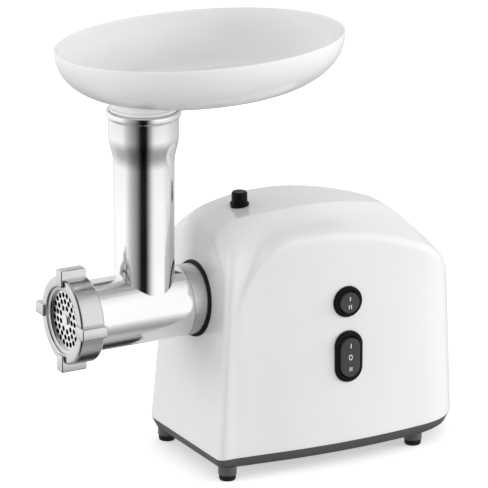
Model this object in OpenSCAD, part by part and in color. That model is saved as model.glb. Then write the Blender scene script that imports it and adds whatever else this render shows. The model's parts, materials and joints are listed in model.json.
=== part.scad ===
// Electric meat grinder. X runs along the feed screw: the grinding head is at -X, the motor at +X.
// The switches face -Y, +Z is up, and z = 0 is the plane of the rubber feet. Sizes are in mm.
// Modules are drawn with x = 0 midway between the feet; placed() then moves them so that x = 0 is
// the middle of the whole machine, from the ring nut to the cord outlet.

/* [Housing] */
// Height of the seam between the white housing and the grey base
seam_z = 21; // [19:1:24]
// Front face of the housing at the seam
front_x = -105; // [-106:1:-101]
// Rear end of the housing at the seam
rear_x = 145; // [141:1:150]
// Half width of the bulged side panels at the seam
panel_half = 74.6; // [72:0.1:78]
// Half width of the upright core behind the panels
core_half = 66; // [63:0.5:66]
// Highest point of the top band
top_z = 227; // [226:1:232]
// Wall thickness of the white shell
wall = 3; // [2.5:0.1:3.2]

/* [Head] */
// Height of the feed screw axis
axis_z = 148; // [148:1:148]
// Outer radius of the barrel
barrel_r = 30.6; // [30.2:0.1:31]
// Radius of the barrel's bore
bore_r = 24.6; // [24.5:0.1:25]
// Distance of the feed chute ahead of the feet's centre
chute_x = -142; // [-144:1:-138]
// Outer radius of the chute tube
chute_r = 26.2; // [26:0.1:27]

/* [Tray] */
// Height of the tray's rim
rim_z = 378; // [374:1:386]
// Half length of the tray
tray_a = 131; // [120:1:140]
// Half width of the tray
tray_b = 91; // [80:1:96]
// Middle of the tray along X
tray_x = -87; // [-88:1:-80]

/* [Feet] */
// Half distance between the feet along X
foot_x = 92; // [86:1:92]
// Half distance between the feet along Y
foot_y = 56; // [52:1:56]

/* [Hidden] */
$fn = 64;

// ---- rules that shape the housing -------------------------------------------------
eps = 0.01;
side_draft = 2;
front_draft = 4.5;
panel_mid = 20;     // where the side panels are widest
panel_arc = 555;    // radius of the panels' curve along X
arch_x = -9;        // crest of the panels' arch
arch_z = 208;       // height of that crest
spine_z = 140;      // rays fan out upwards from this height
ray_cols = 56;
ray_levels = [21, 50, 80, 112, 140];
fan_rows = 14;

function smax(a, b, k) = let(h = max(k - abs(a - b), 0) / k) max(a, b) + h * h * k / 4;
function smin(a, b, k) = -smax(-a, -b, k);

// height of the side panels' arched top edge
function arch(x) = x < arch_x
    ? arch_z - 36 * pow((arch_x - x) / 66, 3.6)
    : arch_z - 0.0024 * pow(x - arch_x, 2);

// the panels and the bulged back: one belt round the housing
function belt(p) =
    let(side = abs(p.y) - panel_half + pow(p.x - panel_mid, 2) / (2 * panel_arc)
            + (p.z - 21) * tan(side_draft),
        back = p.x - rear_x + p.y * p.y / 520 + (p.z - 21) * 0.03,
        crown = 16 * (p.y / 68) * (p.y / 68),
        lid = p.z - arch(p.x) - 16 + crown,
        slope = 0.84 * (p.x - 117) + 0.54 * (p.z - 187 + crown))
    smax(smax(smax(side, back, 40), -(p.x + 88), 10), smax(lid, slope, 12), 12);

// the narrower core, which carries the flat top band and the front face
function core(p) =
    let(band_half = 30 - 0.0017 * pow(p.x + 20, 2),
        fall = max(0, abs(p.y) - band_half) / (60 - band_half),
        side = abs(p.y) - core_half + (p.z - 21) * tan(2.5),
        front = front_x - p.x + (p.z - 21) * tan(front_draft),
        lid = p.z - top_z + 0.0017 * pow(p.x + 15, 2) + 24 * pow(fall, 1.3),
        step = 0.7 * (p.x - 88 + p.z - 209))
    smax(smax(smax(side, front, 7), p.x - 112, 30), smax(lid, step, 5), 20);

function shell(p) = smin(belt(p), core(p), 8);

function shoot(o, d, near, far, n, inset) =
    let(mid = (near + far) / 2)
    n == 0 ? o + d * mid
    : shell(o + d * mid) + inset < 0 ? shoot(o, d, mid, far, n - 1, inset)
    : shoot(o, d, near, mid, n - 1, inset);

function ray_ring(z, tilt, inset) = [
    for (i = [0 : ray_cols - 1])
        let(a = 360 * (i + 0.5) / ray_cols, c = cos(a) * cos(tilt), s = sin(a) * cos(tilt))
        shoot([20 + 72 * c, 16 * s, z], [c, s, sin(tilt)], 0, 160, 13, inset)
];

function level(ring, z) = [for (p = ring) [p.x, p.y, z]];

// closed skin through a stack of rings, capped flat at both ends
module skin(rings) {
    n = len(rings[0]);
    m = len(rings);
    polyhedron(
        points = [for (r = rings) for (p = r) p],
        faces = concat(
            [[for (i = [0 : n - 1]) i]],
            [for (k = [0 : m - 2]) for (i = [0 : n - 1])
                [k * n + i, (k + 1) * n + i, k * n + (i + 1) % n]],
            [for (k = [0 : m - 2]) for (i = [0 : n - 1])
                [k * n + (i + 1) % n, (k + 1) * n + i, (k + 1) * n + (i + 1) % n]],
            [[for (i = [n - 1 : -1 : 0]) (m - 1) * n + i]]
        )
    );
}

module housing_form(inset, drop) {
    rings = concat(
        drop > 0 ? [level(ray_ring(21, 0, inset), 21 - drop)] : [],
        [for (z = ray_levels) ray_ring(z, 0, inset)],
        [for (k = [1 : fan_rows - 1]) ray_ring(spine_z, 90 * k / fan_rows, inset)],
        [ray_ring(spine_z, 89, inset)]
    );
    skin(rings);
}

// ---- small helpers ----------------------------------------------------------------
module at_x(x, y, z) { translate([x, y, z]) rotate([0, 90, 0]) children(); }
module at_y(x, y, z) { translate([x, y, z]) rotate([-90, 0, 0]) children(); }
module rod_x(r, x0, x1, y, z) { at_x(x0, y, z) cylinder(r = r, h = x1 - x0); }
module rod_y(r, y0, y1, x, z) { at_y(x, y0, z) cylinder(r = r, h = y1 - y0); }
module rod_z(r, z0, z1, x, y) { translate([x, y, z0]) cylinder(r = r, h = z1 - z0); }
module box(a, b) { translate(a) cube(b - a); }
module ring_x(ro, ri, x0, x1, y, z) {
    difference() {
        rod_x(ro, x0, x1, y, z);
        rod_x(ri, x0 - 1, x1 + 1, y, z);
    }
}
module four(dx, dy) { for (i = [-1, 1], j = [-1, 1]) translate([i * dx, j * dy, 0]) children(); }
// stadium standing in the XZ plane, long side up
module pill_y(half_w, half_h, y0, y1, x, z) {
    rod_y(half_w, y0, y1, x, z + half_h - half_w);
    rod_y(half_w, y0, y1, x, z - half_h + half_w);
    box([x - half_w, y0, z - half_h + half_w], [x + half_w, y1, z + half_h - half_w]);
}

// ---- switches' and button's places ------------------------------------------------
switch_x = 17.5;
speed_z = 147.5;
main_z = 98.5;
speed_y = -71;      // pivot lines of the two rockers
main_y = -72.6;
button_x = -50;
gland_z = 45;

// ---- casing -----------------------------------------------------------------------
// x, y of each screw boss, and the y at which its rib ends inside the side wall
boss_spots = [[-72, 50, 66.5], [-72, -50, -66.5], [92, 52, 67.9], [92, -52, -67.9]];
module upper_housing() {
    color("white") {
        difference() {
            housing_form(0, 0);
            housing_form(wall, 3);
            rod_x(33.2, -120, -70, 0, axis_z);
            rod_z(7.9, 200, 250, button_x, 0);
            rod_y(14, -90, -50, switch_x, speed_z);
            pill_y(13.5, 23.3, -90, -50, switch_x, main_z);
            rod_x(7.1, 120, 160, 0, gland_z);
            box([-87, -5, 186], [-80, 5, 204]);
        }
        for (s = boss_spots) difference() {
            union() {
                rod_z(4.5, 22, 48, s.x, s.y);
                box([s.x - 1, min(s.y, s.z), 22], [s.x + 1, max(s.y, s.z), 46]);
            }
            rod_z(1.6, 21, 40, s.x, s.y);
        }
    }
}

module base_plate() {
    color("dimgray") difference() {
        union() {
            difference() {
                skin([level(ray_ring(21, 0, 6), 11), level(ray_ring(21, 0, 3.6), 13),
                      level(ray_ring(21, 0, 0.5), seam_z - 0.05)]);
                skin([level(ray_ring(21, 0, 6.5), 14), level(ray_ring(21, 0, 3.4), seam_z + 1)]);
            }
            four(foot_x, foot_y) rod_z(8, 5, 14, 0, 0);
            for (s = boss_spots) rod_z(5.5, 13, 21.5, s.x, s.y);
            for (x = [-7, 21]) box([x - 3, -26, 13], [x + 3, 26, motor_z - 36.05]);
        }
        four(foot_x, foot_y) rod_z(3.1, 4, 12, 0, 0);
        for (s = boss_spots) {
            rod_z(1.9, 10, 22, s.x, s.y);
            rod_z(3.6, 10, 16, s.x, s.y);
        }
        for (x = [0 : 9 : 54], y = [-50, 32]) box([x - 2, y, 10], [x + 2, y + 18, 15]);
        for (y = [-50 : 9 : 50]) box([108, y - 2, 10], [124, y + 2, 15]);
    }
}

module rubber_feet() {
    color("black") four(foot_x, foot_y) {
        rod_z(7.4, 0, 5, 0, 0);
        rod_z(3, 4, 11, 0, 0);
    }
}

module base_screws() {
    color("silver") for (s = boss_spots) {
        rod_z(1.6, 15, 36, s.x, s.y);
        difference() {
            rod_z(3.2, 13, 16, s.x, s.y);
            box([s.x - 2, s.y - 0.4, 12], [s.x + 2, s.y + 0.4, 14]);
            box([s.x - 0.4, s.y - 2, 12], [s.x + 0.4, s.y + 2, 14]);
        }
    }
}

// ---- head release -----------------------------------------------------------------
pin_x = -84.2;
lever_x = (pin_x + button_x) / 2;   // pivot half way between the pin and the button
lever_z = 193.5;
module button_collar() {
    color("black") difference() {
        union() {
            rod_z(8.4, 226.1, 228, button_x, 0);
            rod_z(7.6, 212, 226.2, button_x, 0);
        }
        rod_z(7.1, 216, 240, button_x, 0);
        rod_z(2.6, 205, 240, button_x, 0);
    }
}

module release_button() {
    color("black") {
        rod_z(6.9, 225, 236.4, button_x, 0);
        translate([button_x, 0, 236.4]) cylinder(r1 = 6.9, r2 = 6, h = 1);
        rod_z(2.5, lever_z + 2.6, 226, button_x, 0);
        translate([button_x, 0, lever_z + 1.4]) cylinder(r1 = 0.4, r2 = 2.5, h = 1.2);
    }
}

coil_r = 4.6;
wire_r = 0.45;
coil_turns = 5;
coil_steps = 16;    // straight pieces in one turn of the wire
coil_foot = 216.5;
coil_pitch = 1.6;
module button_spring() {
    color("silver") skin([
        for (k = [0 : coil_turns * coil_steps])
            let(a = 360 * k / coil_steps)
            [for (b = [0 : -45 : -315])
                [button_x + (coil_r + wire_r * cos(b)) * cos(a), (coil_r + wire_r * cos(b)) * sin(a),
                 coil_foot + coil_pitch * k / coil_steps + wire_r * sin(b)]]
    ]);
}

module latch_lever() {
    color("silver") difference() {
        union() {
            box([pin_x - 1.7, -4.5, lever_z - 1.3], [button_x + 3.5, 4.5, lever_z + 1.3]);
            rod_y(3.2, -4.5, 4.5, lever_x, lever_z);
        }
        rod_y(2.05, -6, 6, lever_x, lever_z);
        box([pin_x - 3, -2.2, lever_z - 3], [pin_x + 4, 2.2, lever_z + 3]);
    }
}

module lever_pivot() { color("silver") rod_y(2, -9.5, 9.5, lever_x, lever_z); }

module lock_pin() {
    color("silver") {
        rod_z(1.5, axis_z + 24.8, lever_z + 3, pin_x, 0);
        rod_z(2.8, lever_z + 1.7, lever_z + 3.2, pin_x, 0);
    }
}

// ---- gear train -------------------------------------------------------------------
mod_1 = 0.8;
mod_2 = 1.25;
mod_3 = 1.4;
pinion_t = 14;
gear_1_t = 70;
gear_2_t = 56;
gear_3_t = 56;
reach_3 = mod_3 * (pinion_t + gear_3_t) / 2;    // centre distances
reach_2 = mod_2 * (pinion_t + gear_2_t) / 2;
reach_1 = mod_1 * (pinion_t + gear_1_t) / 2;
shaft_2 = [0, axis_z - reach_3];                // [y, z] of each shaft
shaft_1 = [28, shaft_2.y - sqrt(reach_2 * reach_2 - 28 * 28)];
motor_z = shaft_1.y + sqrt(reach_1 * reach_1 - 28 * 28);
motor_ax = [0, motor_z];
function bearing_of(a, b) = atan2(b.y - a.y, b.x - a.x);

// involute tooth form, thinned by a little backlash
function roll(r, base) = r <= base ? 0 : let(t = sqrt(pow(r / base, 2) - 1)) t * 180 / PI - atan(t);
function tooth(m, n) =
    let(pitch = m * n / 2, base = pitch * cos(20),
        root = pitch - 1.15 * m, low = max(base, root + 0.2 * m),
        half = 90 / n - 0.13 / pitch * 180 / PI + roll(pitch, base))
    [for (r = [root, low, pitch, pitch + 0.8 * m]) [r, half - roll(r, base)]];
module gear(m, n, phase, h) {
    flank = tooth(m, n);
    linear_extrude(height = h) polygon([
        for (k = [0 : n - 1]) for (i = [0 : 7])
            let(q = flank[i < 4 ? i : 7 - i], a = phase + 360 * k / n + (i < 4 ? -q[1] : q[1]))
            [q[0] * cos(a), q[0] * sin(a)]
    ]);
}
// stands a gear drawn in XY on the X axis, so that its angles run from +Y towards +Z
module on_shaft(x, c) {
    translate([x, c.x, c.y]) multmatrix([[0, 0, 1, 0], [1, 0, 0, 0], [0, 1, 0, 0]]) children();
}

module output_gear() {
    up = bearing_of(shaft_2, [0, axis_z]);
    color("goldenrod") difference() {
        union() {
            on_shaft(-75, [0, axis_z]) gear(mod_3, gear_3_t, up + 180 + 180 / gear_3_t, 12);
            rod_x(12, -100, -75, 0, axis_z);
            rod_x(8, -63, -34, 0, axis_z);
        }
        at_x(-101, 0, axis_z) cylinder(r = 7.75, h = 14, $fn = 6);
        for (k = [0 : 5]) at_x(-76, 0, axis_z)
            rotate([0, 0, 60 * k]) translate([26, 0, -1]) cylinder(r = 7, h = 20);
    }
}

module output_bush() {
    color("peru") {
        ring_x(15, 12.05, -82.5, -77, 0, axis_z);
        ring_x(11, 8.05, -41, -36, 0, axis_z);
    }
}

module second_gear() {
    color("silver") {
        on_shaft(-75.5, shaft_2) gear(mod_3, pinion_t, bearing_of(shaft_2, [0, axis_z]), 14.5);
        rod_x(4, -80, -36.5, shaft_2.x, shaft_2.y);
        difference() {
            on_shaft(-61, shaft_2)
                gear(mod_2, gear_2_t, bearing_of(shaft_1, shaft_2) + 180 + 180 / gear_2_t, 8);
            for (k = [0 : 5]) at_x(-62, shaft_2.x, shaft_2.y)
                rotate([0, 0, 60 * k]) translate([21, 0, 0]) cylinder(r = 6, h = 10);
        }
    }
}

module first_gear() {
    color("silver") {
        on_shaft(-61.5, shaft_1) gear(mod_2, pinion_t, bearing_of(shaft_1, shaft_2), 12.5);
        rod_x(3, -80, -36.5, shaft_1.x, shaft_1.y);
        on_shaft(-49, shaft_1)
            gear(mod_1, gear_1_t, bearing_of(motor_ax, shaft_1) + 180 + 180 / gear_1_t, 6);
    }
}

module gear_bushes() {
    color("peru") for (x = [-81, -40]) {
        ring_x(7, 4.05, x, x + 4, shaft_2.x, shaft_2.y);
        ring_x(6, 3.05, x, x + 4, shaft_1.x, shaft_1.y);
    }
}

pillars = [[-38, 180], [38, 180], [-40, 66], [0, 34]];   // [y, z]
case_x = -82.5;     // front face of the gearbox
collar_x = -109;    // front end of the gearbox's collar, where the head's barrel meets it
module plate_outline(x0, x1) {
    rod_x(44, x0, x1, 0, axis_z);
    box([x0, -46, 59], [x1, 46, axis_z]);
    box([x0, -7, 34], [x1, 44, 60]);
    for (p = pillars) rod_x(7, x0, x1, p.x, p.y);
}

module gearbox_case() {
    color("lightgray") difference() {
        union() {
            plate_outline(case_x, -77);
            rod_x(barrel_r, collar_x, case_x + 1, 0, axis_z);
            for (p = pillars) rod_x(6, -78, -40, p.x, p.y);
            box([-86.3, -4, 174], [case_x + 1, 4, 186]);
            for (y = [-9.5, 5.5]) box([case_x, y, 190], [lever_x + 4, y + 4, 197.5]);
        }
        rod_x(27.1, collar_x - 1, case_x, 0, axis_z);
        rod_x(15, -90, -70, 0, axis_z);
        rod_x(7, -90, -70, shaft_2.x, shaft_2.y);
        rod_x(6, -90, -70, shaft_1.x, shaft_1.y);
        rod_z(1.55, 171, 201, pin_x, 0);
        box([-90, -5.4, 188.5], [-60, 5.4, 210]);
        rod_y(2, -12, 12, lever_x, lever_z);
        for (p = pillars) rod_x(1.9, -56, -39, p.x, p.y);
    }
}

module gearbox_cover() {
    color("lightgray") difference() {
        plate_outline(-40, -36);
        rod_x(11, -48, -30, 0, axis_z);
        rod_x(7, -48, -30, shaft_2.x, shaft_2.y);
        rod_x(6, -48, -30, shaft_1.x, shaft_1.y);
        rod_x(7, -48, -30, 0, motor_z);
        for (p = pillars) rod_x(2.1, -48, -30, p.x, p.y);
    }
}

module gearbox_screws() {
    color("dimgray") for (p = pillars) {
        rod_x(1.9, -54, -36, p.x, p.y);
        rod_x(3.6, -36, -33.5, p.x, p.y);
    }
}

// the seal's front leans back with the housing's front face and stands 2 mm proud of it
seal_x = -97;
module collar_seal() {
    color("black") difference() {
        ring_x(33.1, 30.7, -102, -89.2, 0, axis_z);
        translate([seal_x, 0, axis_z]) rotate([0, front_draft, 0])
            translate([-30, -50, -50]) cube([30, 100, 100]);
    }
}

// ---- motor ------------------------------------------------------------------------
module motor_shaft() {
    color("silver") {
        rod_x(4, -38, 86, 0, motor_z);
        rod_x(3, -51, -37, 0, motor_z);
    }
}
module motor_pinion() {
    color("silver") difference() {
        on_shaft(-49.5, motor_ax) gear(mod_1, pinion_t, bearing_of(motor_ax, shaft_1), 7);
        rod_x(3, -54, -34, 0, motor_z);
    }
}
module armature_core() {
    color("gray") difference() {
        rod_x(21.3, -14, 28, 0, motor_z);
        rod_x(4, -30, 40, 0, motor_z);
        for (k = [0 : 11]) at_x(-15, 0, motor_z) rotate([0, 0, 30 * k]) {
            translate([15, -1.6, 0]) cube([4.6, 3.2, 50]);
            translate([18, -0.8, 0]) cube([5, 1.6, 50]);
        }
    }
}
module armature_winding() {
    color("chocolate") {
        ring_x(18.5, 4, -22, -14, 0, motor_z);
        ring_x(18.5, 4, 28, 36, 0, motor_z);
        for (k = [0 : 11]) at_x(-14, 0, motor_z) rotate([0, 0, 30 * k])
            translate([15.1, -1.5, 0]) cube([2.9, 3, 42]);
    }
}
module commutator() {
    color("peru") difference() {
        ring_x(11, 4, 40, 53, 0, motor_z);
        for (k = [0 : 11]) at_x(39, 0, motor_z)
            rotate([0, 0, 30 * k + 15]) translate([9.6, -0.3, 0]) cube([3, 0.6, 20]);
    }
}
module cooling_fan() {
    color("black") {
        ring_x(33, 4, 60, 61.6, 0, motor_z);
        ring_x(9, 4, 61, 71, 0, motor_z);
        for (k = [0 : 10]) at_x(61.5, 0, motor_z)
            rotate([0, 0, 360 * k / 11]) translate([8, -0.8, 0]) cube([24, 1.6, 8]);
    }
}
module stator_core() {
    color("gray") difference() {
        box([-14, -41, motor_z - 36], [28, 41, motor_z + 36]);
        rod_x(22, -30, 40, 0, motor_z);
        for (s = [-1, 1]) box([-15, s > 0 ? 10 : -33, motor_z - 24], [29, s > 0 ? 33 : -10, motor_z - 15]);
        for (s = [-1, 1]) box([-15, s > 0 ? 10 : -33, motor_z + 15], [29, s > 0 ? 33 : -10, motor_z + 24]);
        for (i = [-1, 1], j = [-1, 1]) rod_x(2.1, -21, 40, i * screw_y, motor_z + j * screw_z);
    }
}
module field_coils() {
    color("chocolate") for (s = [-1, 1]) {
        difference() {
            box([-21, -32.5, motor_z + s * 19.5 - 4], [35, 32.5, motor_z + s * 19.5 + 4]);
            box([-14.1, -10.1, motor_z + s * 19.5 - 6], [28.1, 10.1, motor_z + s * 19.5 + 6]);
            rod_x(22, -30, 42, 0, motor_z);
        }
    }
}
// a cross bar plate from x0 to x1 with four spacer tubes from t0 to t1
screw_y = 36;
screw_z = 30;
module bracket(x0, x1, t0, t1) {
    arm = atan2(screw_z, screw_y);
    color("silver") difference() {
        union() {
            rod_x(16, x0, x1, 0, motor_z);
            for (i = [-1, 1]) at_x(x0, 0, motor_z) rotate([0, 0, i * arm])
                translate([-6, -53, 0]) cube([12, 106, x1 - x0]);
            for (i = [-1, 1], j = [-1, 1]) rod_x(4.5, t0, t1, i * screw_y, motor_z + j * screw_z);
        }
        rod_x(9.5, x0 - 1, x1 + 1, 0, motor_z);
        for (i = [-1, 1], j = [-1, 1]) rod_x(2.1, t0 - 20, t1 + 20, i * screw_y, motor_z + j * screw_z);
    }
}
module motor_front_bracket() { bracket(-32, -27, -30, -14); }
module motor_rear_bracket() { bracket(76, 81, 28, 79); }
module motor_bearings() {
    color("silver") {
        ring_x(9.5, 4.05, -32, -27, 0, motor_z);
        ring_x(9.5, 4.05, 76, 81, 0, motor_z);
    }
}
module motor_screws() {
    color("dimgray") for (i = [-1, 1], j = [-1, 1]) {
        rod_x(2, -32, 82, i * screw_y, motor_z + j * screw_z);
        rod_x(3.8, 81, 84, i * screw_y, motor_z + j * screw_z);
    }
}
module brush_holders() {
    color("black") for (s = [-1, 1]) difference() {
        box([42, s > 0 ? 13 : -30, motor_z - 5], [51, s > 0 ? 30 : -13, motor_z + 5]);
        box([43.4, s > 0 ? 12 : -27, motor_z - 3.6], [49.6, s > 0 ? 27 : -12, motor_z + 3.6]);
    }
}
module carbon_brushes() {
    color("dimgray") for (s = [-1, 1])
        box([43.6, s > 0 ? 11.2 : -26, motor_z - 3.4], [49.4, s > 0 ? 26 : -11.2, motor_z + 3.4]);
}

// ---- switches ---------------------------------------------------------------------
module speed_bezel() {
    color("black") difference() {
        union() {
            rod_y(13.8, speed_y - 1.6, speed_y + 3, switch_x, speed_z);
            rod_y(12.6, speed_y, speed_y + 12, switch_x, speed_z);
        }
        rod_y(9.8, speed_y - 3, speed_y + 14, switch_x, speed_z);
    }
}
module speed_rocker() {
    color("dimgray") {
        difference() {
            rod_y(9.1, speed_y - 4.5, speed_y + 4.5, switch_x, speed_z);
            rod_x(60, switch_x - 20, switch_x + 20, speed_y - 63.6, speed_z);
        }
        rod_x(1.2, switch_x - 9.6, switch_x + 9.6, speed_y, speed_z);
    }
}
module speed_switch_body() {
    color("black") rod_y(12.6, speed_y + 12, speed_y + 26, switch_x, speed_z);
}
module main_bezel() {
    color("black") difference() {
        union() {
            pill_y(13.2, 23, main_y - 1.6, main_y + 3, switch_x, main_z);
            pill_y(12, 21.6, main_y, main_y + 12, switch_x, main_z);
        }
        pill_y(9.8, 18.3, main_y - 3, main_y + 14, switch_x, main_z);
    }
}
module main_rocker() {
    color("dimgray") {
        difference() {
            pill_y(9.3, 17.4, main_y - 4.5, main_y + 4.5, switch_x, main_z);
            rod_x(150, switch_x - 20, switch_x + 20, main_y - 153.6, main_z);
        }
        rod_x(1.2, switch_x - 9.65, switch_x + 9.65, main_y, main_z);
    }
}
module main_switch_body() {
    color("black") pill_y(12, 21.6, main_y + 12, main_y + 25, switch_x, main_z);
}
module switch_terminals() {
    color("gold") {
        for (z = [-5, 5])
            box([switch_x - 2, speed_y + 26, speed_z + z - 0.4], [switch_x + 2, speed_y + 33, speed_z + z + 0.4]);
        for (x = [-6, 2], z = [-9, 0, 9])
            box([switch_x + x, main_y + 25, main_z + z - 0.4], [switch_x + x + 4, main_y + 31, main_z + z + 0.4]);
    }
}
module terminal_block() {
    color("ivory") difference() {
        box([96, -18, 14], [112, 18, 26]);
        for (y = [-12, 0, 12]) {
            rod_x(2, 95, 113, y, 20);
            rod_z(2, 20, 27, 104, y);
        }
    }
}
module suppressor() { color("goldenrod") box([92, 30, 14.05], [112, 40, 30]); }
module cord_gland() {
    color("black") difference() {
        union() {
            rod_x(7, 134, 145, 0, gland_z);
            rod_x(9.5, 144.6, 148, 0, gland_z);
            at_x(148, 0, gland_z) cylinder(r1 = 6.4, r2 = 5, h = 10);
            rod_x(9, 134, 138, 0, gland_z);
        }
        rod_x(3.4, 130, 165, 0, gland_z);
    }
}

// ---- grinding head ----------------------------------------------------------------
mouth_x = -214;
throat_z = 178.5;   // below this the chute's bore widens into the barrel
module head_bores() {
    rod_x(bore_r, -208, -112, 0, axis_z);
    rod_z(23.4, axis_z, 299.5, chute_x, 0);
    rod_z(23.9, axis_z, throat_z, chute_x, 0);
}
module grinder_head() {
    color("silver") difference() {
        union() {
            rod_x(barrel_r, mouth_x, collar_x - 0.1, 0, axis_z);
            rod_x(27, collar_x - 1, case_x - 0.1, 0, axis_z);
        }
        head_bores();
        rod_x(27.05, mouth_x - 1, -208, 0, axis_z);
        rod_x(10.05, -113, -100, 0, axis_z);
        rod_x(22, -104, -80, 0, axis_z);
        box([pin_x - 2.2, -2.2, axis_z + 24], [-80, 2.2, axis_z + 30]);
    }
}
// the chute stands on the barrel; in the casting the two are one
module feed_chute() {
    color("silver") difference() {
        union() {
            rod_z(chute_r, axis_z, 283.5, chute_x, 0);
            translate([chute_x, 0, 283.5]) cylinder(r1 = chute_r, r2 = 30.2, h = 14);
            rod_z(30.2, 297.5, 318.5, chute_x, 0);
            rod_z(32.2, 318.5, 324.5, chute_x, 0);
        }
        rod_x(barrel_r + 0.02, -184, -104, 0, axis_z);
        head_bores();
        rod_z(27.5, 299, 330, chute_x, 0);
    }
}

module ring_nut() {
    color("silver") difference() {
        union() {
            rod_x(38, -221.5, -199, 0, axis_z);
            for (k = [0 : 3]) at_x(0, 0, axis_z) rotate([0, 0, 90 * k]) {
                translate([34, -5.5, -223]) cube([11.5, 11, 23]);
                translate([29.5, -5.5, -224]) cube([16, 11, 4]);
            }
        }
        rod_x(barrel_r + 0.3, -217.05, -190, 0, axis_z);
        rod_x(26, -222, -216, 0, axis_z);
        rod_x(29.4, -230, -219.5, 0, axis_z);
    }
}

hole_rows = [[10.4, 9], [16, 15], [21.6, 21]];
module cutting_plate() {
    color("lightgray") difference() {
        rod_x(26.9, -217, -212, 0, axis_z);
        rod_x(4.5, -220, -210, 0, axis_z);
        for (row = hole_rows, k = [0 : row[1] - 1]) at_x(-218, 0, axis_z)
            rotate([0, 0, 360 * (k + 0.5) / row[1]]) translate([row[0], 0, 0]) cylinder(r = 2.2, h = 8);
    }
}

module knife() {
    color("lightgray") difference() {
        union() {
            rod_x(8, -211.95, -204.5, 0, axis_z);
            for (k = [0 : 3]) at_x(-211.95, 0, axis_z)
                rotate([0, 0, 90 * k + 20]) translate([0, -3, 0]) cube([24, 6, 3]);
        }
        box([-214, -4.6, axis_z - 4.6], [-200, 4.6, axis_z + 4.6]);
    }
}

screw_turns = 3;
module auger() {
    flight = 20;    // half angle of the screw's flight, before it is twisted
    color("silver") {
        rod_x(4.45, -218.5, -211, 0, axis_z);
        box([-212, -4.5, axis_z - 4.5], [-203, 4.5, axis_z + 4.5]);
        at_x(-204, 0, axis_z)
            linear_extrude(height = 90, twist = -360 * screw_turns, slices = 12 * screw_turns)
                polygon(concat(
                    [for (a = [-flight : 10 : flight]) 24.2 * [cos(a), sin(a)]],
                    [for (a = [55 : 50 : 305]) 9 * [cos(a), sin(a)]]
                ));
        rod_x(10, -114.5, -101, 0, axis_z);
        at_x(-103, 0, axis_z) cylinder(r = 7.5, h = 13, $fn = 6);
    }
}
module auger_bush() { color("ivory") ring_x(16, 10.05, -113.9, -112.05, 0, axis_z); }

// ---- food tray --------------------------------------------------------------------
tray_floor = 334;
tray_wall = 2.4;
tray_rows = 9;
function tray_ring(grow, z, wide) = [
    for (i = [0 : 47]) let(a = 360 * i / 48)
        [tray_x + (tray_a * wide + grow) * cos(a), (tray_b * wide + grow) * sin(a), z]
];
// how wide the bowl is at a share t of the way up to its rim
function bowl(t) = 0.6 + 0.4 * pow(1 - pow(1 - t, 2.3), 0.6);
module food_tray() {
    depth = rim_z - tray_floor;
    color("white") difference() {
        union() {
            difference() {
                skin([for (k = [0 : tray_rows]) let(t = k / tray_rows)
                    tray_ring(0, tray_floor + depth * t, bowl(t))]);
                skin([for (k = [0 : tray_rows]) let(t = k / tray_rows)
                    tray_ring(-tray_wall, tray_floor + tray_wall + (depth - tray_wall + eps) * t, bowl(t))]);
            }
            rod_z(27.4, 300.5, tray_floor + 1.5, chute_x, 0);
            rod_z(29.5, 324.55, 327, chute_x, 0);
        }
        rod_z(24, 298, 350, chute_x, 0);
    }
}

module placed() { translate([33, 0, 0]) children(); }

placed() upper_housing();
placed() base_plate();
placed() rubber_feet();
placed() base_screws();
placed() button_collar();
placed() release_button();
placed() button_spring();
placed() latch_lever();
placed() lever_pivot();
placed() lock_pin();
placed() gearbox_case();
placed() gearbox_cover();
placed() gearbox_screws();
placed() collar_seal();
placed() output_gear();
placed() output_bush();
placed() second_gear();
placed() first_gear();
placed() gear_bushes();
placed() motor_pinion();
placed() motor_shaft();
placed() armature_core();
placed() armature_winding();
placed() commutator();
placed() cooling_fan();
placed() stator_core();
placed() field_coils();
placed() motor_front_bracket();
placed() motor_rear_bracket();
placed() motor_bearings();
placed() motor_screws();
placed() brush_holders();
placed() carbon_brushes();
placed() speed_bezel();
placed() speed_rocker();
placed() speed_switch_body();
placed() main_bezel();
placed() main_rocker();
placed() main_switch_body();
placed() switch_terminals();
placed() terminal_block();
placed() suppressor();
placed() cord_gland();
placed() grinder_head();
placed() feed_chute();
placed() ring_nut();
placed() cutting_plate();
placed() knife();
placed() auger();
placed() auger_bush();
placed() food_tray();
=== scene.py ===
"""Electric meat grinder: the looks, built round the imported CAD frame. Lengths are in metres."""

import json
import math

import bmesh
import bpy
import numpy as np
from mathutils import Matrix, Vector


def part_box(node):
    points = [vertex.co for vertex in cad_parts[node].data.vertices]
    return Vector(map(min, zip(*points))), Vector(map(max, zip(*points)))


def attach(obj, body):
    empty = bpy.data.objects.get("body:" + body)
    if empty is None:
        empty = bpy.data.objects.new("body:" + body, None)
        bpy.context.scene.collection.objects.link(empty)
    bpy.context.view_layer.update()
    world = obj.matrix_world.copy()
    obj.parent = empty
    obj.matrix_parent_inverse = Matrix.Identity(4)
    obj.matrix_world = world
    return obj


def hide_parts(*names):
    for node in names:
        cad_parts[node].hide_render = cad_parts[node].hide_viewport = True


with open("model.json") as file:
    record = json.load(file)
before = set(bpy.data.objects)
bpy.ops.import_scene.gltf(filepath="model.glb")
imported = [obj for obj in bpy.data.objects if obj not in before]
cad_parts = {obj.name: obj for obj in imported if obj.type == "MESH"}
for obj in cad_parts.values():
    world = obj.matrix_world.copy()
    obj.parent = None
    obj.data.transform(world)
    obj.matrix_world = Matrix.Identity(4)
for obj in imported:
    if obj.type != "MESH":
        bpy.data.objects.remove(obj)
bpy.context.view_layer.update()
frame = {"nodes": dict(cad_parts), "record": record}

MM = 0.001

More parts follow.
